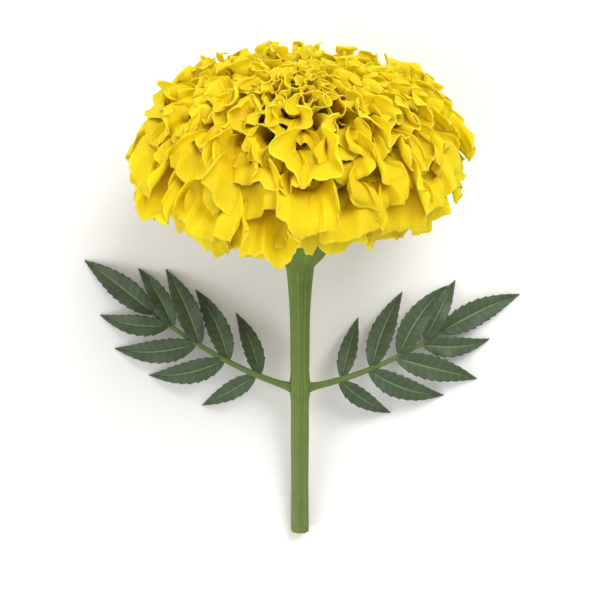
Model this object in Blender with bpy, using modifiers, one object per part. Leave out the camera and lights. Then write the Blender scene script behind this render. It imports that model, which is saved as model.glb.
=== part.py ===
"""Double African marigold blossom, as picked: one flower head on a short cut stem with a pair of leaves.

The flower lies on its side on a flat surface. It rests on the rim of its petals, the cut end of the stem and
its leaflets. The face of the flower looks towards -Y and a little up, the cut end lies at +Y, and +Z is up.

The head is built upright about its own axis, with the mouth of the green cup at its origin, and an empty tips
it over. Ray florets stand in rows on the receptacle. Each row follows a nested trumpet of its own: up out of
the cup, outward to the dome, and over at the lip. Florets of the three outer rows are nodes of their own.
Those of the inner rows are joined at the claw by a collar, one node a row.
"""

import math

import bmesh
import bpy
import numpy as np
from mathutils import Vector

MM = 0.001

# How the picked flower lies on the table.
HEAD_TILT = math.radians(27)             # head axis above the table
AXIS = Vector((0.0, -math.cos(HEAD_TILT), math.sin(HEAD_TILT)))
MOUTH = Vector((0.0, -26.1, 32.1)) * MM  # centre of the cup's mouth

# Dome that the florets bend over at: a half-flattened ball about the head axis.
DOME_RADIUS = 32.0 * MM
DOME_HALF_HEIGHT = 16.5 * MM
DOME_CENTRE = 12.0 * MM                  # above the mouth of the cup

# Trumpet that a row follows to the dome, and the lip that it ends in.
CORNER_REACH = 0.15                      # of its curve's corner from the claw, as a share of the way out
CORNER_LIFT = 8.0 * MM                   # least height of that corner, at the back of the head
CORNER_GAIN = 21.0 * MM                  # how much higher it can be, at the pole
BACK_OF_HEAD = math.radians(135)         # dome angle where the gain has faded out
LIP_RADIUS = 7.0 * MM                    # bend of the turned-over end at the edge of the head
LIP_SHRINK = 0.4                         # share of it that is lost at the pole
LIP_TURN = math.radians(18)              # least turn of that end, at the pole
LIP_GAIN = math.radians(57)              # how much more it turns at the edge of the head

# Rows of ray florets, outermost first.
ROW_COUNTS = (14, 16, 16, 22, 22, 22, 21, 18, 14, 9)
SEPARATE_ROWS = 3
ROW_SPACING = 4.75 * MM                  # along the dome
INNERMOST_ARC = 4.6 * MM                 # from the pole of the dome to the last row
OUTER_CLAW_RADIUS = 8.8 * MM
CLAW_SPACING = 0.85 * MM                 # between rows, where they pass the mouth of the cup
CLAW_DEPTH = 5.0 * MM                    # foot of the florets below the mouth
CLAW_RISE = 1.0 * MM                     # height above the mouth where they start to lean out
COLLAR_TOP = -2.5 * MM                   # where the joined claws of an inner row part
CLAW_WIDTH = 2.4 * MM
LIMB_WIDTH = 13.6 * MM
NEIGHBOUR_GAP = 0.5 * MM
PETAL_THICKNESS = 0.5 * MM
TIP_DRAWN_IN = 0.78                      # width of the tip over that of the limb
CUPPING = 0.5 * MM                       # how far a limb's sides rise above its middle
ROW_TURN = 0.618                         # share of a pitch that each row is turned from the last

# Green cup (involucre), receptacle and stem.
CUP_RADIUS = 10.2 * MM
CUP_WALL = 0.9 * MM
CUP_HEIGHT = 20.0 * MM
CUP_FOOT_RADIUS = 3.7 * MM
SEAT_GAP = 0.3 * MM
STEM_TOP_RADIUS = 3.4 * MM
STEM_RADIUS = 2.2 * MM
STEM_END = Vector((0.0, 58.5, 2.25)) * MM
STEM_BEND = 0.42                         # share of its run that the stem keeps to the head axis

# Leaves.
LEAF_NODE = 0.50                         # share of the stem's length where the leaves leave it
RIGHT_LEAF = (Vector((17.0, -5.0, 1.5)) * MM, Vector((36.0, -19.0, -8.6)) * MM)  # its stalk's bend and end
LEFT_LEAF = (Vector((-16.0, -3.0, 1.5)) * MM, Vector((-34.4, -14.0, -8.6)) * MM)
LEAF_SEAT = 0.55 * MM                    # from the stem's side to the middle of the stalk's slanting end
RACHIS_RADIUS = 0.9 * MM
LEAF_THICKNESS = 0.6 * MM
PAIR_PLACES = (0.24, 0.46, 0.66, 0.85)   # shares of the rachis
PAIR_STAGGER = 0.012                     # of a pair's two leaflets, either way
PAIR_LENGTHS = (16.5 * MM, 21.0 * MM, 21.5 * MM, 18.0 * MM)
TIP_LENGTH = 23.0 * MM
SLENDERNESS = 0.31                       # width of a leaflet over its length
FIRST_LEAN = math.radians(62)            # of the first pair, from the rachis
LEAN_STEP = math.radians(8)              # less for each pair after it
LEAFLET_CURVE = 0.22                     # share of the lean that is lost towards its point
LEAFLET_FOLD = 0.16                      # rise of its edges over its half width


def clear_scene():
    for found in list(bpy.data.objects):
        bpy.data.objects.remove(found, do_unlink=True)


def new_collection(name, hidden=False):
    made = bpy.data.collections.new(name)
    made.hide_render = hidden
    bpy.context.scene.collection.children.link(made)
    return made


def surface_material(name, hex_colour, roughness):
    """A matte living surface. The colour is sRGB, turned to linear."""
    made = bpy.data.materials.new(name)
    made.use_nodes = True
    channels = [int(hex_colour[i : i + 2], 16) / 255 for i in (1, 3, 5)]
    linear = [c / 12.92 if c <= 0.04045 else ((c + 0.055) / 1.055) ** 2.4 for c in channels]
    shader = made.node_tree.nodes["Principled BSDF"]
    shader.inputs["Base Color"].default_value = (*linear, 1.0)
    shader.inputs["Roughness"].default_value = roughness
    shader.inputs["Metallic"].default_value = 0.0
    return made


def add_object(name, data, material, collection, parent=None):
    made = bpy.data.objects.new(name, data)
    data.materials.append(material)
    collection.objects.link(made)
    made.parent = parent
    return made


def thicken(obj, thickness):
    solidify = obj.modifiers.new("thickness", "SOLIDIFY")
    solidify.thickness = thickness
    solidify.offset = 0.0


def grid_sheet(name, columns, stations, place, keep=None):
    """A mesh from a grid of columns by stations squares, with each corner moved to place(column, station).

    keep(column, station) says whether the square that starts at that corner stays.
    """
    sheet = bmesh.new()
    bmesh.ops.create_grid(sheet, x_segments=columns, y_segments=stations, size=1.0)

    def numbers(point):
        return (point.x + 1) / 2 * columns, (point.y + 1) / 2 * stations

    if keep:
        centres = {face: numbers(face.calc_center_median()) for face in sheet.faces}
        dropped = [face for face, (across, along) in centres.items() if not keep(int(across), int(along))]
        bmesh.ops.delete(sheet, geom=dropped, context="FACES")
    for corner in sheet.verts:
        column, station = numbers(corner.co)
        corner.co = place(round(column), round(station))
    bmesh.ops.remove_doubles(sheet, verts=sheet.verts, dist=0.001 * MM)
    made = bpy.data.meshes.new(name)
    sheet.to_mesh(made)
    sheet.free()
    made.shade_smooth()
    return made


def dome_angle_at(arc):
    """The dome's angle from the pole, where the arc from the pole along its outline has the given length."""
    angles = np.linspace(0.0, math.radians(150), 1501)
    steps = np.hypot(DOME_RADIUS * np.cos(angles), DOME_HALF_HEIGHT * np.sin(angles))
    lengths = np.concatenate([[0.0], np.cumsum((steps[1:] + steps[:-1]) / 2 * np.diff(angles))])
    return float(np.interp(arc, lengths, angles))


def row_path(row):
    """Points (radius, height) of a row's trumpet and the unit normals on its inner side, foot first.

    The path rises straight out of the cup, follows a parabola out to the dome, and turns over in an arc. The
    lip turns over most at the edge of the head and least round its middle.
    """
    rows_in = len(ROW_COUNTS) - 1 - row
    angle = dome_angle_at(INNERMOST_ARC + rows_in * ROW_SPACING)
    claw = OUTER_CLAW_RADIUS - row * CLAW_SPACING
    shoulder = np.array([DOME_RADIUS * math.sin(angle), DOME_CENTRE + DOME_HALF_HEIGHT * math.cos(angle)])
    lift = CORNER_LIFT + CORNER_GAIN * (1 - angle / BACK_OF_HEAD) ** 0.8
    corner = np.array([claw + CORNER_REACH * (shoulder[0] - claw), lift])
    rise = np.array([claw, CLAW_RISE])
    points = [(claw, -CLAW_DEPTH)]
    for t in (0.0, 0.5, 1.0):
        points.append(tuple((1 - t) ** 2 * rise + 2 * t * (1 - t) * corner + t**2 * shoulder))
    heading = math.atan2(shoulder[1] - corner[1], shoulder[0] - corner[0])
    outwardness = min(1.0, angle / math.radians(90))
    turn = LIP_TURN + LIP_GAIN * outwardness
    bend = LIP_RADIUS * (1 - LIP_SHRINK * (1 - outwardness))
    for share in (0.5, 1.0):
        end = heading - turn * share
        across = math.sin(heading) - math.sin(end)
        down = math.cos(end) - math.cos(heading)
        points.append((shoulder[0] + bend * across, shoulder[1] + bend * down))
    points = np.array(points)
    along = np.gradient(points, axis=0)
    along /= np.linalg.norm(along, axis=1)[:, None]
    inward = np.stack([-along[:, 1], along[:, 0]], axis=1)
    return points, inward


def floret_points(row, turn, columns, path, inward):
    """Points of one floret as an array of stations by columns by 3.

    Each station lies on the row's trumpet, spread by the floret's width there, with its sides raised by the
    cupping. The width grows from claw to limb, draws in at the tip, and stays inside the floret's own pitch.
    """
    travelled = np.concatenate([[0.0], np.cumsum(np.linalg.norm(np.diff(path, axis=0), axis=1))])
    open_share = np.clip((travelled / travelled[-1] - 0.22) / 0.55, 0.0, 1.0)
    opening = open_share**2 * (3 - 2 * open_share)
    pitch = 2 * math.pi / ROW_COUNTS[row]
    width = CLAW_WIDTH + (LIMB_WIDTH - CLAW_WIDTH) * opening
    width = np.minimum(width, pitch * path[:, 0] - NEIGHBOUR_GAP)
    width[-1] *= TIP_DRAWN_IN
    across = np.linspace(-1.0, 1.0, columns + 1)
    raised = CUPPING * opening[:, None] * across[None, :] ** 2
    radius = path[:, 0, None] + inward[:, 0, None] * raised
    height = path[:, 1, None] + inward[:, 1, None] * raised
    azimuth = turn + across[None, :] * (width / 2 / path[:, 0])[:, None]
    return np.stack([radius * np.cos(azimuth), radius * np.sin(azimuth), height], axis=2)


def floret_turns(row):
    """Azimuths of a row's florets about the head axis."""
    count = ROW_COUNTS[row]
    return [2 * math.pi * (place + row * ROW_TURN) / count for place in range(count)]


def build_separate_rows(petal, collection, head):
    columns = 3
    for row in range(SEPARATE_ROWS):
        path, inward = row_path(row)
        for number, turn in enumerate(floret_turns(row), 1):
            points = floret_points(row, turn, columns, path, inward)
            name = f"ray_floret_r{row + 1:02d}_{number:02d}"
            sheet = grid_sheet(name, columns, len(path) - 1, lambda column, station: points[station, column])
            thicken(add_object(name, sheet, petal, collection, head), PETAL_THICKNESS)


def build_joined_row(row, petal, collection, head):
    """A whorl of florets from one grid that closes round the axis.

    Every third column of squares lies between two florets. There only the first square stays, as the collar
    that joins each claw to the next.
    """
    columns = 2
    path, inward = row_path(row)
    path = np.insert(path, 1, (path[0][0], COLLAR_TOP), axis=0)
    inward = np.insert(inward, 1, inward[0], axis=0)
    florets = [floret_points(row, turn, columns, path, inward) for turn in floret_turns(row)]
    wide = columns + 1

    def place(column, station):
        return florets[column // wide % len(florets)][station, column % wide]

    def keep(column, station):
        return column % wide < columns or station == 0

    name = f"ray_florets_row_{row + 1:02d}"
    sheet = grid_sheet(name, wide * len(florets), len(path) - 1, place, keep)
    thicken(add_object(name, sheet, petal, collection, head), PETAL_THICKNESS)


def turned_solid(name, profile, steps, material, collection, head):
    """A solid of revolution about the head axis, from a profile of (radius, height), top to bottom."""
    data = bpy.data.meshes.new(name)
    points = [(radius, 0.0, height) for radius, height in profile]
    data.from_pydata(points, [(i, i + 1) for i in range(len(points) - 1)], [])
    made = add_object(name, data, material, collection, head)
    screw = made.modifiers.new("turn", "SCREW")
    screw.steps = screw.render_steps = steps
    screw.use_merge_vertices = True
    screw.merge_threshold = 0.01 * MM
    screw.use_smooth_shade = True
    return made


def build_central_bud(petal, collection, head):
    """The tight middle of the head: unopened florets standing together as one slim bud."""
    radius = OUTER_CLAW_RADIUS - len(ROW_COUNTS) * CLAW_SPACING + 0.25 * MM
    top = DOME_CENTRE + DOME_HALF_HEIGHT + 1.2 * MM
    tuft = [(0.0, top), (1.5 * MM, top - 0.8 * MM), (2.0 * MM, top - 3.0 * MM), (1.2 * MM, top - 9.0 * MM)]
    claws = [(radius, 6.0 * MM), (radius, -CLAW_DEPTH), (0.0, -CLAW_DEPTH)]
    profile = tuft + claws
    turned_solid("central_florets", profile, 14, petal, collection, head)


def cup_outline():
    """Outer side of the green cup as (radius, height), rim first: a goblet that narrows to its foot."""
    return [
        (CUP_RADIUS, 0.0),
        (CUP_RADIUS + 0.15 * MM, -3.5 * MM),
        (CUP_RADIUS * 0.97, -8.0 * MM),
        (CUP_RADIUS * 0.86, -12.5 * MM),
        (CUP_RADIUS * 0.64, -16.5 * MM),
        (CUP_FOOT_RADIUS, -CUP_HEIGHT),
    ]


def build_cup(green, collection, head):
    outer = cup_outline()
    floor = outer[-1][1] + CUP_WALL
    inner = [(radius - CUP_WALL, height) for radius, height in reversed(outer[:-1])]
    foot = [(0.0, outer[-1][1]), (0.0, floor), (CUP_FOOT_RADIUS - CUP_WALL, floor)]
    profile = [inner[-1]] + outer + foot + inner
    turned_solid("involucre", profile, 30, green, collection, head)


def build_receptacle(pale, collection, head):
    """Fills the cup under the florets' feet, clear of its wall by the seat gap."""
    clearance = CUP_WALL + SEAT_GAP
    top = -CLAW_DEPTH - SEAT_GAP
    sides = [(radius - clearance, height) for radius, height in cup_outline() if height < top]
    foot = (CUP_FOOT_RADIUS - clearance, -CUP_HEIGHT + clearance)
    profile = [(0.0, top), (CUP_RADIUS * 0.99 - clearance, top)] + sides[:-1] + [foot, (0.0, foot[1])]
    turned_solid("receptacle", profile, 24, pale, collection, head)


def stem_point(share):
    """The stem's centre line: a parabola that leaves the cup on the head axis and levels out on the table."""
    start = MOUTH - AXIS * (CUP_HEIGHT + SEAT_GAP)
    bend = start - AXIS * (start - STEM_END).length * STEM_BEND
    return start * (1 - share) ** 2 + bend * (2 * share * (1 - share)) + STEM_END * share**2


def stem_radius(share):
    """Swollen just under the cup, slim further down."""
    return STEM_RADIUS + (STEM_TOP_RADIUS - STEM_RADIUS) * math.exp(-share * 7)


def tube(name, points, radii, material, collection):
    """A smooth rod along the points, with flat ends."""
    data = bpy.data.curves.new(name, "CURVE")
    data.dimensions = "3D"
    data.bevel_depth = MM
    data.bevel_resolution = 4
    data.use_fill_caps = True
    spline = data.splines.new("POLY")
    spline.points.add(len(points) - 1)
    for knot, point, radius in zip(spline.points, points, radii):
        knot.co = (*point, 1.0)
        knot.radius = radius / MM
    return add_object(name, data, material, collection)


def build_stem(green, collection):
    shares = [i / 13 for i in range(14)]
    tube("peduncle", [stem_point(s) for s in shares], [stem_radius(s) for s in shares], green, collection)


def as_mesh_object(tube_object, collection):
    """The curve's evaluated solid as a mesh object, with its caps sewn on. The curve is removed."""
    graph = bpy.context.evaluated_depsgraph_get()
    name = tube_object.name
    data = bpy.data.meshes.new_from_object(tube_object.evaluated_get(graph))
    sewn = bmesh.new()
    sewn.from_mesh(data)
    bmesh.ops.remove_doubles(sewn, verts=sewn.verts, dist=0.001 * MM)
    sewn.to_mesh(data)
    sewn.free()
    place = tube_object.matrix_world.copy()
    bpy.data.objects.remove(tube_object, do_unlink=True)
    made = bpy.data.objects.new(name, data)
    made.matrix_world = place
    collection.objects.link(made)
    return made


def rachis_point(route, share):
    """Centre line of a leaf's stalk, from beside the stem to near the table."""
    bend, end = route
    beside = math.copysign(stem_radius(LEAF_NODE) + LEAF_SEAT, end.x)
    start = stem_point(LEAF_NODE) + Vector((beside, 0.0, 0.0))
    return start + bend * (2 * share * (1 - share)) + end * share**2


def rachis_heading(route, share):
    """Heading of the stalk as an angle on the table."""
    ahead = rachis_point(route, share + 0.01) - rachis_point(route, share - 0.01)
    return math.atan2(ahead.y, ahead.x)


def build_leaflet(name, foot, heading, lean, length, green, guides):
    """A lance-shaped sheet from its foot on the stalk to a point on the table, folded along its midrib."""
    shares = (0.0, 0.2, 0.42, 0.66, 0.87, 1.0)
    table = LEAF_THICKNESS / 2 + 0.05 * MM

    def place(column, station):
        share = shares[station]
        way = heading + lean * (1 - LEAFLET_CURVE * share)
        spread = length * SLENDERNESS / 2 * max(0.12, math.sin(math.pi * share**0.72) ** 0.85)
        across = (column - 1) * spread
        return Vector((
            foot.x + length * share * math.cos(way) - across * math.sin(way),
            foot.y + length * share * math.sin(way) + across * math.cos(way),
            foot.z + (table - foot.z) * share**1.4 + LEAFLET_FOLD * abs(across),
        ))

    sheet = grid_sheet(name, 2, len(shares) - 1, place)
    leaflet = add_object(name, sheet, green, guides)
    thicken(leaflet, LEAF_THICKNESS)
    leaflet.hide_render = True
    leaflet.display_type = "WIRE"


def build_leaf(name, route, green, collection):
    """A stalk with leaflets in pairs and one at its end, joined into one solid."""
    shares = [i / 12 for i in range(13)]
    radii = [RACHIS_RADIUS * (1 - 0.35 * s) for s in shares]
    stalk = tube(name, [rachis_point(route, s) for s in shares], radii, green, collection)
    stalk.data.bevel_resolution = 2
    leaf = as_mesh_object(stalk, collection)
    guides = new_collection(name + "_leaflets", hidden=True)
    for pair, (share, length) in enumerate(zip(PAIR_PLACES, PAIR_LENGTHS)):
        for edge in (-1, 1):
            lean = edge * (FIRST_LEAN - pair * LEAN_STEP)
            at = share + edge * PAIR_STAGGER
            foot, heading = rachis_point(route, at), rachis_heading(route, at)
            build_leaflet(f"{name}_leaflet_{pair}_{edge}", foot, heading, lean, length, green, guides)
    foot, heading = rachis_point(route, 0.97), rachis_heading(route, 0.97)
    build_leaflet(f"{name}_leaflet_tip", foot, heading, 0.0, TIP_LENGTH, green, guides)
    union = leaf.modifiers.new("leaflets", "BOOLEAN")
    union.operation = "UNION"
    union.solver = "EXACT"
    union.operand_type = "COLLECTION"
    union.collection = guides


def main():
    clear_scene()
    collection = new_collection("marigold_flower")
    petal = surface_material("petal_yellow", "#f2cf1c", 0.55)
    cup_green = surface_material("cup_green", "#6f8a35", 0.5)
    stem_green = surface_material("stem_green", "#6a8243", 0.5)
    leaf_green = surface_material("leaf_green", "#46573a", 0.5)
    pale_green = surface_material("receptacle_pale", "#c3c487", 0.7)

    head = bpy.data.objects.new("head_axis", None)
    head.location = MOUTH
    head.rotation_euler = (math.pi / 2 - HEAD_TILT, 0.0, 0.0)
    collection.objects.link(head)

    build_separate_rows(petal, collection, head)
    for row in range(SEPARATE_ROWS, len(ROW_COUNTS)):
        build_joined_row(row, petal, collection, head)
    build_central_bud(petal, collection, head)
    build_cup(cup_green, collection, head)
    build_receptacle(pale_green, collection, head)
    build_stem(stem_green, collection)
    build_leaf("leaf_right", RIGHT_LEAF, leaf_green, collection)
    build_leaf("leaf_left", LEFT_LEAF, leaf_green, collection)


main()
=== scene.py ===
"""Looks of a picked double African marigold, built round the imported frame.

The flower lies on its side. Its face looks towards -Y and a little up, and the cut end of the stem is at +Y.
The head is worked out upright about its own axis, with the mouth of the green cup at the origin and the
axis along +Z, and is then tipped over as a whole. Lengths are in metres.
"""

import math

import bpy
import numpy as np
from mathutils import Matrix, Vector


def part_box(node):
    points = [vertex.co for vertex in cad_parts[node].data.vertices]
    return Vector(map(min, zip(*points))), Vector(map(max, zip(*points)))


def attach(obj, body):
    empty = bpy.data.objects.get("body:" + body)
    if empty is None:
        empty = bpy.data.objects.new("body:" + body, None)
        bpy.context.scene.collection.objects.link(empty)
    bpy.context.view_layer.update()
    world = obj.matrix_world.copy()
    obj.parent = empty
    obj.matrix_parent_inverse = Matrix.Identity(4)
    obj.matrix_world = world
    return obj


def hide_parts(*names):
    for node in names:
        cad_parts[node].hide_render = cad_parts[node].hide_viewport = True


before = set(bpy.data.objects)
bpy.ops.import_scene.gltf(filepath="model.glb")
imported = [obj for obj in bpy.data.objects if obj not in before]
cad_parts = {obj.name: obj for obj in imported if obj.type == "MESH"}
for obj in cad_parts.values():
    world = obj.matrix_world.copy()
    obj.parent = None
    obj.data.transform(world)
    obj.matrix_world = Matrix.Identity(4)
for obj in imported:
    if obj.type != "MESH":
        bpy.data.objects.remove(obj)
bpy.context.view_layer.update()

MM = 0.001

# The driving sizes that the frame was built from.
HEAD_TILT = math.radians(27)  # of the head's axis, above level
CUP_RADIUS = 10.2 * MM
CUP_HEIGHT = 20.0 * MM
STEM_TOP_RADIUS = 3.4 * MM
STEM_RADIUS = 2.2 * MM
STEM_BEND = 0.42  # how far down the head's axis the stem's bend lies, as a share of its ends' distance
LEAF_NODE = 0.50  # where the leaves grow, as a share of the way along the stem's curve

# The florets' throats lie on a dome, a flattened ball round the head's axis. Rows count from its edge in.
DOME_RADIUS = 32.0 * MM
DOME_HALF_HEIGHT = 16.5 * MM
DOME_CENTRE = 12.0 * MM
ROW_COUNTS = (14, 16, 16, 22, 22, 22, 21, 18, 14, 9)
SEPARATE_ROWS = 3  # the outer rows, whose florets are nodes of their own
ROW_SPACING = 4.75 * MM
INNERMOST_ARC = 4.6 * MM  # from the dome's pole to the innermost row, along its outline
ROW_TURN = 0.618  # what is added to each row's turn, as a share of its florets' spacing
TURN_SPREAD = 0.14  # how far a floret strays round its row, as a share of that spacing
ARC_SPREAD = 0.7 * MM  # how far it strays along the dome
ROW_STAGGER = 0.35 * MM  # how far every second one stands further out, and the others further in
ROW_SEED = 1200

# The claws' feet stand in rings on the pad in the cup.
OUTER_CLAW_RADIUS = 8.8 * MM
CLAW_SPACING = 0.85 * MM
CLAW_DEPTH = 4.6 * MM  # from the cup's mouth down to the feet
CLAW_RISE = 1.0 * MM  # from the mouth up to where the claws start to bend outwards
FOOT_SHARE = 0.1  # the share of the claw that rises straight

# Corners of each floret's grid, along its claw, along its limb and across it.
CLAW_STATIONS = 12
LIMB_STATIONS = 24
COLUMNS = 41
PETAL_THICKNESS = 0.18 * MM
RIM_HIGHLIGHT_START = 0.93  # where the painted highlight along the rim starts, as a share of the limb

# Where the florets' measures are given, from the middle of the head (0) to its edge (1).
OUTWARD_STOPS = (0.0, 0.35, 0.7, 1.0)

# Young florets in the middle, which spiral outwards as seeds do.
MIDDLE_COUNT = 19
MIDDLE_FIRST_ARC = 0.7 * MM  # from the dome's pole to the first
MIDDLE_SPREAD = 4.6 * MM  # from there to just past the last
MIDDLE_CLAW_RADIUS = 0.6 * MM
GOLDEN_ANGLE = math.radians(137.508)
MIDDLE_SEED = 77

BRACTS = 11
CUP_THICKNESS = 0.6 * MM

# Each leaf's stalk: its bend and its end, from where it leaves the stem. Leaflets stand on it in pairs,
# whose places are shares of the stalk, and lean away from it, less with each pair.
RIGHT_LEAF = np.array([[17.0, -5.0, 1.5], [36.0, -19.0, -8.6]]) * MM
LEFT_LEAF = np.array([[-16.0, -3.0, 1.5], [-34.4, -14.0, -8.6]]) * MM
RIGHT_LEAF_SEED = 5
LEFT_LEAF_SEED = 6
STALK_RADIUS = 0.85 * MM
PAIR_PLACES = (0.24, 0.46, 0.66, 0.85)
PAIR_STAGGER = 0.012  # how far one leaflet of a pair stands further out, and the other further in
PAIR_LENGTHS = np.array([16.5, 21.0, 21.5, 18.0]) * MM
TIP_PLACE = 0.97
TIP_LENGTH = 23.0 * MM
SLENDERNESS = 0.275  # a leaflet's width over its length
TOOTH_SPACING = 2.1 * MM
FIRST_LEAN = math.radians(62)
LEAN_STEP = math.radians(8)
LEAF_THICKNESS = 0.28 * MM
LEAF_REST = 0.32 * MM  # height of a leaflet's tip that lies on the table

# A Mix node's sockets where it mixes colours: how much of the second, the two colours, and the result.
SHARE, FIRST, SECOND, MIXED = 0, 6, 7, 2

# Places read off the frame: the cup's rim is its furthest point towards -Y and its highest.
cup_low, cup_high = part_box("involucre")
MOUTH = np.array([
    0.0,
    cup_low[1] + CUP_RADIUS * math.sin(HEAD_TILT),
    cup_high[2] - CUP_RADIUS * math.cos(HEAD_TILT),
])
AXIS = np.array([0.0, -math.cos(HEAD_TILT), math.sin(HEAD_TILT)])
SEAT_GAP = 0.05 * MM
STEM_END = np.array([0.0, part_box("peduncle")[1][1], STEM_RADIUS + SEAT_GAP])
STEM_START = MOUTH - AXIS * (CUP_HEIGHT + SEAT_GAP)


# ---------------------------------------------------------------- materials


def srgb(hex_colour):
    """An sRGB hex colour as linear RGBA: each channel over 12.92 near black, and a power of 2.4 above."""
    channels = [int(hex_colour[i : i + 2], 16) / 255 for i in (1, 3, 5)]
    return (*(c / 12.92 if c <= 0.04045 else ((c + 0.055) / 1.055) ** 2.4 for c in channels), 1.0)


def add(tree, kind, inputs=None, output=0, stops=(), **settings):
    """Adds a node with its settings and links, and gives one of its outputs. inputs maps a socket's name or
    number to a value or to the socket that feeds it. stops are a colour ramp's positions and hex colours."""
    made = tree.nodes.new("ShaderNode" + kind)
    for key, value in settings.items():
        setattr(made, key, value)
    for key, value in (inputs or {}).items():
        if isinstance(value, bpy.types.NodeSocket):
            tree.links.new(value, made.inputs[key])
        else:
            made.inputs[key].default_value = value
    for number, (position, colour) in enumerate(stops):
        elements = made.color_ramp.elements
        element = elements[number] if number < len(elements) else elements.new(position)
        element.position = position
        element.color = srgb(colour)
    return made.outputs[output]


def new_material(name):
    """A new material, its node tree and its shader."""
    made = bpy.data.materials.new(name)
    made.use_nodes = True
    return made, made.node_tree, made.node_tree.nodes["Principled BSDF"]


def own_map(tree):
    """The piece's own map: across its width from 0 to 1, and along it from foot to tip from 0 to 1."""
    across = add(tree, "SeparateXYZ", {0: add(tree, "UVMap", uv_map="surface")})
    return across, across.node.outputs[1]


def fine_lines(tree, across, radians, mottle, bend):
    """Lengthwise lines: the sine of radians times the place across the piece plus bend times the mottle."""
    wander = add(tree, "Math", {0: mottle, 1: bend}, operation="MULTIPLY")
    phase = add(tree, "Math", {0: across, 1: radians, 2: wander}, operation="MULTIPLY_ADD")
    return add(tree, "Math", {0: phase}, operation="SINE")


def layered(tree, colour, *layers):
    """A colour with others laid over it in turn. A layer is a mask, a weight, an offset and a hex colour,
    and its share is weight times mask plus offset."""
    for mask, weight, offset, over in layers:
        share = add(tree, "Math", {0: mask, 1: weight, 2: offset}, operation="MULTIPLY_ADD")
        colour = add(tree, "Mix", {SHARE: share, FIRST: colour, SECOND: srgb(over)}, MIXED, data_type="RGBA")
    return colour


def finish(tree, shader, colour, height, strength, distance, **constants):
    """Joins a colour and a bump height to a shader and sets its constants, named as its sockets are."""
    bump = add(tree, "Bump", {"Strength": strength, "Distance": distance, "Height": height})
    tree.links.new(colour, shader.inputs["Base Color"])
    tree.links.new(bump, shader.inputs["Normal"])
    for key, value in constants.items():
        shader.inputs[key.replace("_", " ")].default_value = value


def petal_material():
    """Marigold petal: thin, soft, faintly velvety tissue. Pale green at its foot, golden in the throat and
    lemon yellow on the limb. Its rim is paler: a painted highlight where light catches the thin margin.
    Light passes through it a little. Some petals are more golden, and the young ones in the middle a little
    green. Blotches are about 3.5 mm across, the grain 0.4 mm, and the veins 0.4 to 0.9 mm apart on the limb."""
    made, tree, shader = new_material("marigold_petal_tissue")
    across, along = own_map(tree)
    place = add(tree, "TexCoord", output="Object")
    tint = add(tree, "Attribute", output="Fac", attribute_name="tint")
    young = add(tree, "Attribute", output="Fac", attribute_name="young")
    rim = add(tree, "Attribute", output="Fac", attribute_name="rim")
    body = add(tree, "ValToRGB", {0: along}, stops=[
        (0.0, "#b8ba60"), (0.2, "#d4c034"), (0.45, "#d2ae14"),
        (0.58, "#e3c314"), (0.72, "#ebcc12"), (1.0, "#edd414"),
    ])
    mottle = add(tree, "TexNoise", {"Vector": place, "Scale": 1 / (3.5 * MM), "Detail": 3.0})
    grain = add(tree, "TexNoise", {"Vector": place, "Scale": 1 / (0.4 * MM), "Detail": 2.0})
    veins = fine_lines(tree, across, 130.0, mottle, 4.0)
    colour = layered(
        tree, body,
        (tint, 0.4, 0.0, "#e2b80e"),
        (young, 0.5, 0.0, "#dccf28"),
        (mottle, 0.25, 0.0, "#f2da22"),
        (veins, 0.06, 0.06, "#dcae0a"),
        # Painted highlight: the pale band along the limb's margin stands in for light on the thin edge.
        (rim, 0.35, 0.0, "#f4e65c"),
    )
    rough = add(tree, "Math", {0: grain, 1: 0.6}, operation="MULTIPLY")
    height = add(tree, "Math", {0: veins, 1: 0.5, 2: rough}, operation="MULTIPLY_ADD")
    finish(tree, shader, colour, height, 0.2, 0.12 * MM, Roughness=0.65, Specular_IOR_Level=0.17,
           Subsurface_Weight=0.4, Subsurface_Radius=(1.0, 0.9, 0.12), Subsurface_Scale=1.2 * MM)
    return made


def cup_material():
    """Green cup of a marigold: smooth waxy tissue with a paler keel on each bract, darker joints between
    them, fine pale streaks, and small sunken oil glands, four across a bract and 13 down it, that show as
    darker dots."""
    made, tree, shader = new_material("marigold_cup_tissue")
    across, along = own_map(tree)
    place = add(tree, "TexCoord", output="Object")
    mottle = add(tree, "TexNoise", {"Vector": place, "Scale": 1 / (2.2 * MM), "Detail": 4.0})
    body = add(tree, "ValToRGB", {0: along}, stops=[
        (0.0, "#7e922a"), (0.35, "#738c24"), (0.7, "#637e22"), (1.0, "#587020"),
    ])
    round_cup = add(tree, "Math", {0: across, 1: BRACTS * 2 * math.pi}, operation="MULTIPLY")
    keel = add(tree, "Math", {0: round_cup}, operation="COSINE")
    streaks = fine_lines(tree, across, BRACTS * 46.0, mottle, 3.0)
    gland_column = add(tree, "Math", {0: across, 1: BRACTS * 4.0}, operation="MULTIPLY")
    gland_row = add(tree, "Math", {0: along, 1: 13.0}, operation="MULTIPLY")
    cells = add(tree, "CombineXYZ", {0: gland_column, 1: gland_row})
    gland = add(tree, "TexVoronoi", {"Vector": cells, "Scale": 1.0, "Randomness": 0.7})
    dot = add(tree, "Math", {0: gland, 1: 0.16}, operation="LESS_THAN")
    colour = layered(
        tree, body,
        (keel, -0.22, 0.22, "#485f1c"),
        (streaks, 0.1, 0.1, "#a3af4a"),
        (dot, 0.55, 0.0, "#47541a"),
    )
    raised = add(tree, "Math", {0: streaks, 1: 0.4}, operation="MULTIPLY")
    height = add(tree, "Math", {0: raised, 1: dot}, operation="SUBTRACT")
    finish(tree, shader, colour, height, 0.35, 0.12 * MM, Roughness=0.45, Specular_IOR_Level=0.3,
           Subsurface_Weight=0.1, Subsurface_Radius=(0.4, 0.8, 0.15), Subsurface_Scale=0.8 * MM)
    return made


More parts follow.
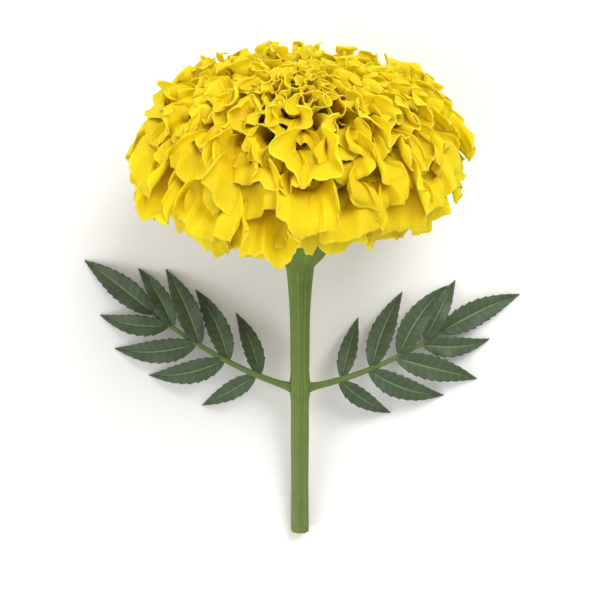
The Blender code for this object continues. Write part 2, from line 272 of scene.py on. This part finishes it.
def stem_material(name, young, old):
    """Marigold stem and leaf stalk: ribbed waxy green tissue with 18 pale streaks round it and darker
    blotches about 2.4 mm across. A cut end shows its skin, a ring of sap vessels and pale pith."""
    made, tree, shader = new_material(name)
    across, along = own_map(tree)
    place = add(tree, "TexCoord", output="Object")
    mottle = add(tree, "TexNoise", {"Vector": place, "Scale": 1 / (2.4 * MM), "Detail": 4.0})
    grain = add(tree, "TexNoise", {"Vector": place, "Scale": 1 / (0.5 * MM), "Detail": 2.0})
    streaks = fine_lines(tree, across, 113.0, mottle, 3.0)
    body = add(tree, "ValToRGB", {0: along}, stops=[(0.0, young), (1.0, old)])
    skin = layered(tree, body, (streaks, 0.2, 0.2, "#93a14c"), (mottle, 0.7, 0.0, "#4a5f24"))
    cut = add(tree, "Attribute", output="Fac", attribute_name="cut")
    flesh = add(tree, "ValToRGB", {0: cut}, stops=[
        (0.0, "#7c9148"), (0.3, "#8ea35a"), (0.45, "#d3d8a8"), (1.0, "#e3e4c4"),
    ])
    is_cut = add(tree, "Math", {0: cut, 1: 0.05}, operation="GREATER_THAN")
    colour = add(tree, "Mix", {SHARE: is_cut, FIRST: skin, SECOND: flesh}, MIXED, data_type="RGBA")
    height = add(tree, "Math", {0: streaks, 1: 0.5, 2: grain}, operation="MULTIPLY_ADD")
    finish(tree, shader, colour, height, 0.3, 0.1 * MM, Roughness=0.48, Specular_IOR_Level=0.3,
           Subsurface_Weight=0.1, Subsurface_Radius=(0.4, 0.8, 0.15), Subsurface_Scale=0.8 * MM)
    return made


def leaf_material():
    """Marigold leaf: dark matte green, a little bluish, with a paler midrib, faint side veins that run to
    the teeth, clouds about 5 mm across and swellings of 0.7 mm between the finest veins."""
    made, tree, shader = new_material("marigold_leaf_blade")
    across, _ = own_map(tree)
    place = add(tree, "TexCoord", output="Object")
    from_middle = add(tree, "Math", {0: across, 1: 0.5}, operation="SUBTRACT")
    from_middle = add(tree, "Math", {0: from_middle}, operation="ABSOLUTE")
    blade_width = add(tree, "Math", {0: from_middle, 1: 18.0}, operation="MULTIPLY")
    midrib = add(tree, "Math", {0: blade_width, 1: 1.0, 2: 0.3}, operation="SMOOTH_MIN")
    vein = add(tree, "Attribute", output="Fac", attribute_name="vein")
    side_vein = add(tree, "Math", {0: vein}, operation="SINE")
    side_vein = add(tree, "Math", {0: side_vein}, operation="ABSOLUTE")
    side_vein = add(tree, "Math", {0: side_vein, 1: 0.35}, operation="POWER")
    cloud = add(tree, "TexNoise", {"Vector": place, "Scale": 1 / (5.0 * MM), "Detail": 4.0})
    cells = add(tree, "TexVoronoi", {"Vector": place, "Scale": 1 / (0.7 * MM)})
    colour = layered(
        tree, srgb("#30402a"),
        (cloud, 1.0, 0.0, "#4b5e3c"),
        (side_vein, -0.18, 0.18, "#748a5c"),
        (midrib, -0.8, 0.8, "#86996a"),
    )
    blade = add(tree, "Math", {0: side_vein, 1: midrib}, operation="MULTIPLY")
    height = add(tree, "Math", {0: cells, 1: 0.35, 2: blade}, operation="MULTIPLY_ADD")
    finish(tree, shader, colour, height, 0.3, 0.14 * MM, Roughness=0.5, Specular_IOR_Level=0.4,
           Subsurface_Weight=0.06, Subsurface_Radius=(0.3, 0.7, 0.1), Subsurface_Scale=0.5 * MM)
    return made


def receptacle_material():
    """Pad that the florets stand on: pale, soft green-white pith, with clouds of 2 mm and pits of 1.1 mm."""
    made, tree, shader = new_material("marigold_receptacle_pith")
    place = add(tree, "TexCoord", output="Object")
    cloud = add(tree, "TexNoise", {"Vector": place, "Scale": 1 / (2.0 * MM), "Detail": 3.0})
    pits = add(tree, "TexVoronoi", {"Vector": place, "Scale": 1 / (1.1 * MM)})
    colour = layered(tree, srgb("#c9cb95"), (cloud, 1.0, 0.0, "#b3ba78"))
    finish(tree, shader, colour, pits, 0.4, 0.2 * MM, Roughness=0.75)
    return made


# ---------------------------------------------------------------- surfaces


def surface_piece(name, patches, material, nodes, thickness=None):
    """One mesh object from patches, which takes the nodes' place. A patch is a dict of arrays: points
    (n, V, T, 3), along and across (n, V, T), and attributes by name, for n grids of V by T corners."""
    corners, squares, maps, values = [], [], [], {}
    first = 0
    keys = sorted({key for patch in patches for key in patch} - {"points", "along", "across"})
    for patch in patches:
        shape = patch["points"].shape[:3]
        number = np.arange(math.prod(shape)).reshape(shape) + first
        square = [number[:, :-1, :-1], number[:, :-1, 1:], number[:, 1:, 1:], number[:, 1:, :-1]]
        squares.append(np.stack(square, axis=-1).reshape(-1, 4))
        corners.append(patch["points"].reshape(-1, 3))
        spots = [np.broadcast_to(patch[key], shape).ravel() for key in ("across", "along")]
        maps.append(np.stack(spots, axis=1))
        for key in keys:
            values.setdefault(key, []).append(np.broadcast_to(patch.get(key, 0.0), shape).ravel())
        first += math.prod(shape)
    corners, squares, maps = np.concatenate(corners), np.concatenate(squares), np.concatenate(maps)
    mesh = bpy.data.meshes.new(name)
    mesh.vertices.add(len(corners))
    mesh.vertices.foreach_set("co", corners.astype(np.float32).ravel())
    mesh.loops.add(squares.size)
    mesh.loops.foreach_set("vertex_index", squares.ravel())
    mesh.polygons.add(len(squares))
    mesh.polygons.foreach_set("loop_start", np.arange(0, squares.size, 4))
    mesh.update(calc_edges=True)
    uv = mesh.uv_layers.new(name="surface")
    uv.data.foreach_set("uv", maps[squares.ravel()].astype(np.float32).ravel())
    for key in keys:
        layer = mesh.attributes.new(key, "FLOAT", "POINT")
        layer.data.foreach_set("value", np.concatenate(values[key]).astype(np.float32))
    mesh.polygons.foreach_set("use_smooth", np.ones(len(squares), bool))
    mesh.materials.append(material)
    made = bpy.data.objects.new(name, mesh)
    bpy.context.scene.collection.objects.link(made)
    if thickness:
        solid = made.modifiers.new("thickness", "SOLIDIFY")
        solid.thickness = thickness
        solid.offset = 0.0
    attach(made, "root")
    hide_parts(*nodes)


def eased(value):
    """Smooth step from 0 to 1: three times the square less twice the cube."""
    value = np.clip(value, 0.0, 1.0)
    return value * value * (3 - 2 * value)


def zigzag(phase, sharpness=0.97):
    """A wave from -1 to 1 with straight sides and barely rounded corners: the arcsine of a sine."""
    return np.arcsin(sharpness * np.sin(phase)) / math.asin(sharpness)


def running_sum(slopes, steps):
    """Sum from zero along axis 1, by the trapezium rule. There is one step less than there are slopes."""
    parts = (slopes[:, 1:] + slopes[:, :-1]) / 2 * steps
    return np.concatenate([np.zeros_like(slopes[:, :1]), np.cumsum(parts, axis=1)], axis=1)


def rotated(first, second, angle):
    """Two components turned by an angle, the first towards the second."""
    return first * np.cos(angle) - second * np.sin(angle), first * np.sin(angle) + second * np.cos(angle)


def to_world(points):
    """Tips the head over: turns it about X from its own axes to the frame's, and moves it to the mouth."""
    lean = math.pi / 2 - HEAD_TILT
    turn = np.array([[1, 0, 0], [0, math.cos(lean), -math.sin(lean)], [0, math.sin(lean), math.cos(lean)]])
    return points @ turn.T + MOUTH


def pressed_on_table(points, softness=0.45 * MM, clear=0.1 * MM):
    """Points near or under the table eased up onto it: with h for the height over clear, in units of
    softness, h becomes log(1 + exp(h))."""
    eased_up = points.copy()
    eased_up[..., 2] = clear + softness * np.logaddexp(0.0, (points[..., 2] - clear) / softness)
    return eased_up


# ---------------------------------------------------------------- florets


def dome_angle_at(arc):
    """The dome's angle from its pole where its outline, an ellipse summed in small steps, is this long."""
    angles = np.linspace(0.0, math.radians(150), 1501)
    steps = np.hypot(DOME_RADIUS * np.cos(angles), DOME_HALF_HEIGHT * np.sin(angles))
    lengths = np.concatenate([[0.0], np.cumsum((steps[1:] + steps[:-1]) / 2 * np.diff(angles))])
    return np.interp(arc, lengths, angles)


def floret_patch(turns, arcs, claw, look, rng):
    """Ray florets as one patch of grids, one grid a floret. walk and limb run from 0 to 1 along its claw and
    then its limb, and t from -1 to 1 across it.

    The claw is a slit tube. It rises out of the cup, then follows a parabola to its throat on the dome,
    where it points the way that its place on the dome asks for. The limb is a flared funnel, slit on its
    inner side: from the throat on, its profile turns away from the tube's axis, and its half angle about
    the axis is its width over twice its distance from it. So a narrow limb is a drooping fan and a wide one
    a trumpet. A share of the florets are full trumpets, which are wider, shorter and stand out further.
    Towards its margin the limb curls in or back. Zigzag pleats run along it and grow towards the margin,
    whose reach follows them as lobes, with teeth between.
    """
    count = len(turns)

    def each(low, high):
        return rng.uniform(low, high, (count, 1, 1))

    walk = np.concatenate([np.linspace(0, 1, CLAW_STATIONS), np.ones(LIMB_STATIONS)])[None, :, None]
    limb = np.concatenate([np.zeros(CLAW_STATIONS), np.linspace(0, 1, LIMB_STATIONS + 1)[1:] ** 0.9])
    limb = limb[None, :, None]
    t = np.linspace(-1, 1, COLUMNS)[None, None, :]
    turns = np.asarray(turns).reshape(-1, 1, 1)
    angle = dome_angle_at(np.asarray(arcs)).reshape(-1, 1, 1)

    # Claw: straight up its foot, then the parabola, in the plane of the head's axis. It ends nearly upright
    # at the dome's pole, level at its edge and pointing down below that.
    foot = np.clip(walk / FOOT_SHARE, 0, 1)
    b = np.clip((walk - FOOT_SHARE) / (1 - FOOT_SHARE), 0, 1)
    final = np.radians(np.interp(np.degrees(angle), (0, 35, 60, 90, 120), (82, 50, 26, 0, -28)))
    final = final + each(-1, 1) * look["pitch"]
    trumpet = each(0, 1) < look["trumpets"]
    sunk = look["depth"] + each(-0.8, 0.8) * MM - 0.9 * MM * trumpet
    shoulder_r = (DOME_RADIUS - sunk) * np.sin(angle)
    shoulder_z = DOME_CENTRE + (DOME_HALF_HEIGHT - sunk) * np.cos(angle)
    keep = 0.5 * np.hypot(shoulder_r - claw, shoulder_z - CLAW_RISE)
    corner_r = np.maximum(claw, shoulder_r - keep * np.cos(final))
    corner_z = shoulder_z - keep * np.sin(final)
    radius = (1 - b) ** 2 * claw + 2 * b * (1 - b) * corner_r + b**2 * shoulder_r
    height = (1 - b) ** 2 * CLAW_RISE + 2 * b * (1 - b) * corner_z + b**2 * shoulder_z
    height = height - (1 - foot) * (CLAW_DEPTH + CLAW_RISE)
    slope_r = (1 - b) * (corner_r - claw) + b * (shoulder_r - corner_r)
    slope_z = (1 - b) * (corner_z - CLAW_RISE) + b * (shoulder_z - corner_z)
    heading = np.arctan2(slope_z, slope_r)

    # Pleats, their overtones and the crumples between them, and how far the margin reaches.
    warped = t + 0.12 * np.sin(math.pi * each(0.8, 1.6) * t + each(0, 6.3))
    phase = math.pi * each(*look["pleats"]) * warped + each(0, 6.3) + each(-1.2, 1.2) * limb
    second_phase = 1.87 * phase + each(0, 6.3) + each(-1.2, 1.2) * limb
    fine_phase = math.pi * each(7, 10) * warped + each(0, 6.3)
    crumple_phase = math.pi * (each(1.2, 2.2) * limb + each(-2.2, 2.2) * t) + each(0, 6.3)
    lobes = 0.13 * zigzag(phase + 0.8) + 0.07 * zigzag(second_phase) + 0.02 * zigzag(2.1 * fine_phase)
    reach = 1 - look["corner"] * each(0.7, 1.3) * np.abs(t) ** 3 + lobes
    reach = 1 + (reach - 1) * eased(limb * 1.4)

    # Flare: the profile's angle from the tube's axis, and what it adds along the axis and away from it.
    turn = look["turn"] * each(0.7, 1.25) * (1 - look["flare"] * each(0.2, 1.7) * t**2)
    curl = each(*look["curl"]) * eased((limb - each(0.45, 0.72)) / 0.24)
    flare = look["funnel"] + (turn - look["funnel"]) * limb**0.8 + curl
    long = look["limb"] * each(0.85, 1.17) * (1 - 0.22 * trumpet)
    steps = long * np.diff(limb, axis=1) * reach[:, 1:]
    ahead = running_sum(np.cos(flare), steps)
    tube = look["claw"] + (look["throat"] - look["claw"]) * b**1.3
    away = tube + running_sum(np.sin(flare), steps)
    width = 2 * look["claw"] * look["closed"]
    width = width + (look["throat_width"] - width) * eased(b)
    spread = look["width"] * each(0.85, 1.18) * (1 + 0.5 * trumpet)
    width = width + (spread - look["throat_width"]) * eased(limb / 0.55)
    round_axis = t * np.minimum(look["closed"], width / (2 * away.mean(axis=2, keepdims=True)))

    # Ruffles raise the limb along its own normal.
    ruffle = look["ruffle"] * each(0.65, 1.4)
    raised = zigzag(phase) * limb + 0.6 * zigzag(second_phase) * limb**1.7
    raised = ruffle * (raised + 0.2 * zigzag(fine_phase) * limb**2.6 + 0.5 * zigzag(crumple_phase) * limb)
    ahead = ahead - np.sin(flare) * raised
    out = away * np.cos(round_axis) - tube + np.cos(flare) * np.cos(round_axis) * raised
    aside = away * np.sin(round_axis) + np.cos(flare) * np.sin(round_axis) * raised

    # Each floret rolls about its tube and leans aside a little.
    out, aside = rotated(out, aside, each(-1, 1) * look["roll"] * eased(walk))
    ahead, aside = rotated(ahead, aside, each(-1, 1) * look["yaw"] * eased(walk))
    across_r = radius + ahead * np.cos(heading) + out * np.sin(heading)
    up = height + ahead * np.sin(heading) - out * np.cos(heading)
    x, y = rotated(across_r, aside, turns + each(-1, 1) * look["swing"] * eased(walk))
    # Mask for the painted highlight along the limb's margin.
    rim = np.maximum(limb - RIM_HIGHLIGHT_START, 0) / (1 - RIM_HIGHLIGHT_START)
    return {
        "points": pressed_on_table(to_world(np.stack([x, y, up + 0 * x], axis=-1))),
        "along": (walk + limb) / 2,
        "across": (t + 1) / 2,
        "tint": each(0, 1),
        "rim": rim,
        "young": look["young"],
    }


def floret_look(outward):
    """The measures of a row's florets, from trumpets in the middle of the head (outward 0) to drooping fans
    at its edge (1). Each measure runs straight from stop to stop, and the florets vary about it.

    claw and throat are the tube's radii and closed is its greatest half angle. throat_width, width and limb
    are the limb's widths and its length. funnel and turn are its angles from the tube's axis at the throat
    and at the margin, flare is how much less it turns at its sides, and curl is the range of its margin's
    curl. depth is how deep the throat lies under the dome, and trumpets is the share of full trumpets.
    corner is how far the limb's corners fall short, ruffle the height of its pleats and pleats the range of
    their number. pitch, roll, yaw and swing are how far a floret may be turned, and young is its greenness.
    """

    def between(*values):
        return float(np.interp(outward, OUTWARD_STOPS, values))

    return {
        "claw": 0.95 * MM,
        "closed": math.radians(147.6),
        "throat": between(1.4, 2.2, 3.2, 4.3) * MM,
        "throat_width": between(6.4, 9.8, 13.6, 15.0) * MM,
        "width": between(9.0, 13.0, 16.5, 18.5) * MM,
        "limb": between(3.5, 5.2, 6.9, 10.2) * MM,
        "funnel": math.radians(between(12, 16, 20, 20)),
        "turn": math.radians(between(45, 58, 62, 68)),
        "flare": between(0.15, 0.3, 0.3, 0.3),
        "curl": np.radians((between(-34, -34, -28, -20), between(30, 40, 50, 60))),
        "depth": between(2.4, 1.9, 1.6, 0.6) * MM,
        "trumpets": between(0.3, 0.5, 0.35, 0.0),
        "corner": between(0.25, 0.36, 0.30, 0.22),
        "ruffle": between(0.45, 0.85, 1.3, 1.6) * MM,
        "pleats": (between(1.4, 1.6, 1.8, 2.0), between(2.4, 2.8, 3.0, 3.2)),
        "pitch": math.radians(8),
        "roll": math.radians(between(18, 17, 14, 9)),
        "yaw": math.radians(between(12, 11, 8, 5)),
        "swing": math.radians(2.5),
        "young": between(0.8, 0.35, 0.0, 0.0),
    }


def hidden_florets(turns, arcs, claw, look, rng):
    """Short florets sunk between the others, which close the gaps that would show the cup. They have every
    second corner of the grid."""
    small = {
        "depth": look["depth"] + 2.6 * MM,
        "limb": 0.62 * look["limb"],
        "width": 0.62 * look["width"],
        "throat": 0.95 * look["throat"],
        "throat_width": 0.82 * look["throat_width"],
        "ruffle": 0.5 * MM,
        "trumpets": 0.0,
    }
    patch = floret_patch(turns, arcs, claw, look | small, rng)
    return {key: value[:, ::2, ::2] if np.ndim(value) > 2 else value for key, value in patch.items()}


def build_rows(petal):
    """One piece a row. Its florets stand evenly round the head, each strayed a little round it and along the
    dome, and every second one further out. Hidden ones stand halfway to their neighbours and to the row
    outside."""
    for row, count in enumerate(ROW_COUNTS):
        rng = np.random.default_rng(ROW_SEED + row)
        arc = INNERMOST_ARC + (len(ROW_COUNTS) - 1 - row) * ROW_SPACING
        places = np.arange(count)
        strays = rng.uniform(-TURN_SPREAD, TURN_SPREAD, count)
        turns = 2 * math.pi * (places + row * ROW_TURN + strays) / count
        strays = rng.uniform(-ARC_SPREAD, ARC_SPREAD, count)
        arcs = arc + strays + np.where(places % 2, ROW_STAGGER, -ROW_STAGGER)
        outward = float(min(1.0, dome_angle_at(arc) / math.radians(90)))
        claw = OUTER_CLAW_RADIUS - row * CLAW_SPACING
        look = floret_look(outward)
        patches = [floret_patch(turns, arcs, claw, look, rng)]
        if row < SEPARATE_ROWS:
            nodes = [f"ray_floret_r{row + 1:02d}_{n + 1:02d}" for n in range(count)]
        else:
            nodes = [f"ray_florets_row_{row + 1:02d}"]
        if row > 0:
            between_rows = arcs + ROW_SPACING / 2
            patches.append(hidden_florets(turns + math.pi / count, between_rows, claw, look, rng))
        surface_piece(f"florets_row_{row + 1:02d}", patches, petal, nodes, PETAL_THICKNESS)


def build_middle(petal):
    """Young florets in the middle of the head: narrow, hardly open, standing close together. Each is turned
    by the golden angle from the last, and its distance from the pole grows as the root of its number."""
    rng = np.random.default_rng(MIDDLE_SEED)
    numbers = np.arange(MIDDLE_COUNT)
    arcs = MIDDLE_FIRST_ARC + MIDDLE_SPREAD * np.sqrt(numbers / MIDDLE_COUNT)
    look = floret_look(0.0) | {"limb": 2.5 * MM, "turn": math.radians(34), "ruffle": 0.3 * MM, "young": 1.0}
    patch = floret_patch(numbers * GOLDEN_ANGLE, arcs, MIDDLE_CLAW_RADIUS, look, rng)
    surface_piece("florets_middle", [patch], petal, ["central_florets"], PETAL_THICKNESS)


# ---------------------------------------------------------------- cup, stem and leaves


def tube_patch(centres, sections, frames):
    """A closed tube carried along a path: sections is (V, T, 2), in the plane of each frame's two axes."""
    side, up = frames
    points = centres[:, None] + sections[..., :1] * side[:, None] + sections[..., 1:] * up[:, None]
    tall, wide = points.shape[:2]
    return {
        "points": points[None],
        "along": np.linspace(0, 1, tall)[None, :, None],
        "across": np.linspace(0, 1, wide)[None, None, :],
    }


def path_frames(path):
    """Unit side and up vectors along a path that never points straight up: side is the path's way crossed
    with the vertical, and up is side crossed with that way."""
    ahead = np.gradient(path, axis=0)
    ahead /= np.linalg.norm(ahead, axis=1)[:, None]
    side = np.cross(ahead, [0.0, 0.0, 1.0])
    side /= np.linalg.norm(side, axis=1)[:, None]
    return side, np.cross(side, ahead)


def cup_section(outward_shift, share, theta):
    """Corners of the cup: radius = outline + shift + arch + keel, height = teeth - fall.

    The outline is a goblet, smoothed by a running mean. Each bract is a shallow arch with a keel in its
    middle, parted from the next by a groove, and ends in a pointed tooth that leans out a little.
    """
    fall = CUP_HEIGHT * share
    depths = np.array([-4.0, 0.0, 3.5, 8.0, 12.5, 16.5, 18.8, 20.0]) * MM
    radii = np.array([10.1, 10.2, 10.35, 9.9, 8.77, 6.4, 4.5, 3.6]) * MM
    dense = np.linspace(depths[0], depths[-1], 400)
    reach = 20
    padded = np.pad(np.interp(dense, depths, radii), reach, mode="edge")
    mean = np.ones(2 * reach + 1) / (2 * reach + 1)
    outline = np.interp(fall, dense, np.convolve(padded, mean, mode="valid"))
    place = (theta * BRACTS / (2 * math.pi)) % 1 * 2 - 1
    arch = 1 - np.abs(place) ** 2.6
    keel = np.exp(-((place / 0.09) ** 2))
    body = np.sin(math.pi * np.clip(share, 0.02, 0.98)) ** 0.45
    tooth = np.clip(1 - np.abs(place) * 1.05, 0, 1) ** 0.9 * 2.6 * MM
    near_rim = (1 - share) ** 7
    radius = outline - 0.42 * MM + outward_shift + (0.42 * arch + 0.13 * keel) * MM * body
    radius = radius + 0.25 * tooth * near_rim
    height = -fall + (tooth - 0.2 * MM) * near_rim
    return np.stack([radius * np.cos(theta), radius * np.sin(theta), height], axis=-1)


def build_cup(green):
    """Goblet of fused bracts with a wall: up its inner side from where the pad lies, over the rim, and down
    its outer side to the foot."""
    theta = np.linspace(0, 2 * math.pi, BRACTS * 24 + 1)[None, :]
    down = np.linspace(0, 1, 64)
    up = np.linspace(0.3, 0, 14)
    outer = cup_section(0.0, down[:, None], theta)
    inner = cup_section(-CUP_THICKNESS, up[:, None], theta)
    patch = {
        "points": to_world(np.concatenate([inner, outer]))[None],
        "across": (theta / (2 * math.pi))[None],
        "along": np.concatenate([0 * up, down])[None, :, None],
    }
    surface_piece("green_cup", [patch], green, ["involucre"])


def bezier(points, share):
    """A parabola from the first point, bent towards the second, to the third: their mean, weighted by
    (1 - share) squared, twice share times (1 - share), and share squared."""
    share = np.asarray(share)[:, None]
    first, bend, last = points
    return first * (1 - share) ** 2 + bend * (2 * share * (1 - share)) + last * share**2


def stem_path(share):
    """The stem's centre line: a parabola that leaves the cup on the head's axis and ends on the table."""
    bend = STEM_START - AXIS * np.linalg.norm(STEM_START - STEM_END) * STEM_BEND
    return bezier((STEM_START, bend, STEM_END), share)


def build_stem(green):
    """Ribbed stem, swollen under the cup and at the leaves' node. Its radius falls off from the cup, with a
    bell at the node and cosines round it for the ribs. Its cut end is a flat disc of rings."""
    stations, rings = 120, 8
    share = np.linspace(0, 1, stations)
    path = stem_path(share)
    frames = path_frames(path)
    theta = np.linspace(0, 2 * math.pi, 97)[None, :]
    s = share[:, None]
    girth = STEM_RADIUS + (STEM_TOP_RADIUS - STEM_RADIUS) * np.exp(-s * 7)
    girth = girth + 0.5 * MM * np.exp(-(((s - LEAF_NODE) / 0.035) ** 2))
    ribs = 0.14 * np.cos(8 * theta + 1.5 * s) + 0.05 * np.cos(17 * theta + 2.0)
    girth = girth + MM * (ribs - 0.1 + 0.04 * np.sin(21 * s + 2 * theta))
    sections = np.stack([girth * np.cos(theta), girth * np.sin(theta)], axis=-1)
    stem = tube_patch(path, sections, frames)
    inwards = np.linspace(1, 0, rings)[:, None, None]
    cap_sections = sections[-1][None] * inwards
    cap_frames = tuple(np.repeat(axis[-1:], rings, axis=0) for axis in frames)
    cap = tube_patch(np.repeat(path[-1:], rings, axis=0), cap_sections, cap_frames)
    cap["cut"] = np.linspace(0.12, 1, rings)[None, :, None]
    for patch in (stem, cap):
        patch["points"][..., 2] = np.maximum(patch["points"][..., 2], 0.03 * MM)
    surface_piece("flower_stem", [stem, cap], green, ["peduncle"])


def leaflet_patch(foot, heading, lean, length, rng):
    """A lance-shaped blade, folded along its midrib and sinking from its foot to the table.

    Its half width is its length times half its slenderness times a sine profile, with teeth that point
    forwards. It bends a little to one side, its margins wave, and its blade swells slightly between the side
    veins.
    """
    s = np.linspace(0, 1, 90)[:, None]
    t = np.linspace(-1, 1, 17)[None, :]
    teeth = length / TOOTH_SPACING
    slant = s * teeth - 0.5 * np.abs(t)
    profile = np.maximum(0.05, np.sin(math.pi * s**0.72) ** 0.85)
    saw = (slant + 0.5) % 1
    serration = 0.17 * (saw - 0.3) * eased((s - 0.12) / 0.1) * (1 - s) ** 0.2 * np.abs(t) ** 4
    half = length * SLENDERNESS / 2 * profile * (1 + serration)
    sway = math.radians(rng.uniform(-7, 7))
    way = heading + lean * (1 - 0.22 * s) + sway * s**1.5
    aside = t * half
    ahead = length * s + 0.10 * half * t**2
    ripples = np.sin(2 * math.pi * (rng.uniform(1.6, 2.6) * s + rng.uniform())) * np.sin(math.pi * s)
    wave = rng.uniform(0.25, 0.5) * MM * ripples * t**2 * np.sign(t + rng.uniform(-0.3, 0.3))
    quilt = 0.10 * MM * np.abs(np.sin(math.pi * slant)) ** 0.7 * np.abs(t) * (1 - np.abs(t)) * 2
    droop = foot[2] + (LEAF_REST - foot[2]) * s ** rng.uniform(1.2, 1.7)
    bow = rng.uniform(0.2, 1.3) * MM * np.sin(math.pi * s) ** 2
    twist = rng.uniform(-0.14, 0.14) * aside * s
    z = droop + bow + rng.uniform(0.14, 0.3) * np.abs(aside) + wave + quilt + twist
    z = z - 0.16 * MM * np.exp(-((t / 0.1) ** 2))
    points = np.stack([
        foot[0] + ahead * np.cos(way) - aside * np.sin(way),
        foot[1] + ahead * np.sin(way) + aside * np.cos(way),
        np.maximum(z, LEAF_REST - 0.1 * MM),
    ], axis=-1)
    return {
        "points": points[None],
        "along": s[None],
        "across": ((t + 1) / 2)[None],
        "vein": (math.pi * slant)[None],
    }


def build_leaf(side_name, route, seed, blade, green):
    """A leaf stalk with four pairs of leaflets and one at its end. The stalk thins towards its end, widens
    at its foot, and has a groove along its top, a bell-shaped dip in its radius."""
    side = math.copysign(1.0, route[1][0])
    start = stem_path([LEAF_NODE])[0] + np.array([side * (STEM_RADIUS + 0.1 * MM), 0.0, 0.0])
    curve = (start, start + route[0], start + route[1])
    share = np.linspace(0, 1, 60)
    path = bezier(curve, share)
    theta = np.linspace(0, 2 * math.pi, 33)[None, :]
    girth = STALK_RADIUS * (1 - 0.45 * share[:, None]) * (1 + 0.6 * np.exp(-share[:, None] * 26))
    girth = girth * (1 - 0.24 * np.exp(-(((theta - math.pi / 2) / 0.45) ** 2)) + 0.03 * np.cos(7 * theta))
    sections = np.stack([girth * np.cos(theta), girth * np.sin(theta) * 0.85], axis=-1)
    stalk = tube_patch(path, sections, path_frames(path))
    rng = np.random.default_rng(seed)
    blades = []

    def leaflet(at, lean, length):
        foot = bezier(curve, [at])[0]
        ahead = bezier(curve, [at + 0.01])[0] - bezier(curve, [at - 0.01])[0]
        lean = lean + math.radians(rng.uniform(-4, 4))
        length = length * rng.uniform(0.95, 1.03)
        blades.append(leaflet_patch(foot, math.atan2(ahead[1], ahead[0]), lean, length, rng))

    for pair, (place, length) in enumerate(zip(PAIR_PLACES, PAIR_LENGTHS)):
        for edge in (-1, 1):
            leaflet(place + PAIR_STAGGER * edge, edge * (FIRST_LEAN - LEAN_STEP * pair), length)
    leaflet(TIP_PLACE, 0.0, TIP_LENGTH)
    node = f"leaf_{side_name}"
    surface_piece(f"{side_name}_leaf_blades", blades, blade, [node], LEAF_THICKNESS)
    surface_piece(f"{side_name}_leaf_stalk", [stalk], green, [node])


# ---------------------------------------------------------------- stage


def aimed(place, target):
    """The turn that points a camera or a light at a target."""
    return (Vector(target) - Vector(place)).to_track_quat("-Z", "Y").to_euler()


def softbox(name, place, size, power):
    """A square area light, aimed at the head."""
    data = bpy.data.lights.new(name, "AREA")
    data.shape = "SQUARE"
    data.size = size
    data.energy = power
    light = bpy.data.objects.new(name, data)
    light.location = place
    light.rotation_euler = aimed(place, (0.0, -0.02, 0.02))
    bpy.context.scene.collection.objects.link(light)


def build_stage():
    """Plain pale floor, a soft light over the face of the flower, a fill behind it and an even sky."""
    half = 3.0
    mesh = bpy.data.meshes.new("floor")
    corners = [(-half, -half, 0), (half, -half, 0), (half, half, 0), (-half, half, 0)]
    mesh.from_pydata(corners, [], [(0, 1, 2, 3)])
    made, _, shader = new_material("pale_paper_floor")
    shader.inputs["Base Color"].default_value = srgb("#f4f3f1")
    shader.inputs["Roughness"].default_value = 0.9
    mesh.materials.append(made)
    floor = bpy.data.objects.new("floor", mesh)
    bpy.context.scene.collection.objects.link(floor)
    softbox("key", place=(-0.28, -0.42, 0.66), size=0.45, power=4.2)
    softbox("fill", place=(0.6, 0.25, 0.5), size=0.6, power=2.5)
    world = bpy.data.worlds.new("studio")
    world.use_nodes = True
    world.node_tree.nodes["Background"].inputs["Color"].default_value = srgb("#ffffff")
    world.node_tree.nodes["Background"].inputs["Strength"].default_value = 0.7
    bpy.context.scene.world = world
    bpy.context.scene.view_settings.view_transform = "Standard"


def build_camera():
    """Looks straight down, with the head of the flower at the top of the picture."""
    data = bpy.data.cameras.new("camera")
    data.lens = 90.0
    data.sensor_width = 36.0
    camera = bpy.data.objects.new("camera", data)
    camera.location = (0.0, 0.0, 0.385)
    camera.rotation_euler = (0.0, 0.0, math.pi)
    bpy.context.scene.collection.objects.link(camera)
    bpy.context.scene.camera = camera


def main():
    """Builds every piece, gives the pad its material and sets the stage."""
    petal = petal_material()
    blade = leaf_material()
    stem_green = stem_material("marigold_stem_skin", "#627f2e", "#66783a")
    stalk_green = stem_material("marigold_leaf_stalk_skin", "#5d763a", "#566c38")
    build_rows(petal)
    build_middle(petal)
    build_cup(cup_material())
    build_stem(stem_green)
    build_leaf("right", RIGHT_LEAF, RIGHT_LEAF_SEED, blade, stalk_green)
    build_leaf("left", LEFT_LEAF, LEFT_LEAF_SEED, blade, stalk_green)
    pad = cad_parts["receptacle"].data.materials
    pad.clear()
    pad.append(receptacle_material())
    build_stage()
    build_camera()


main()
bpy.context.view_layer.update()
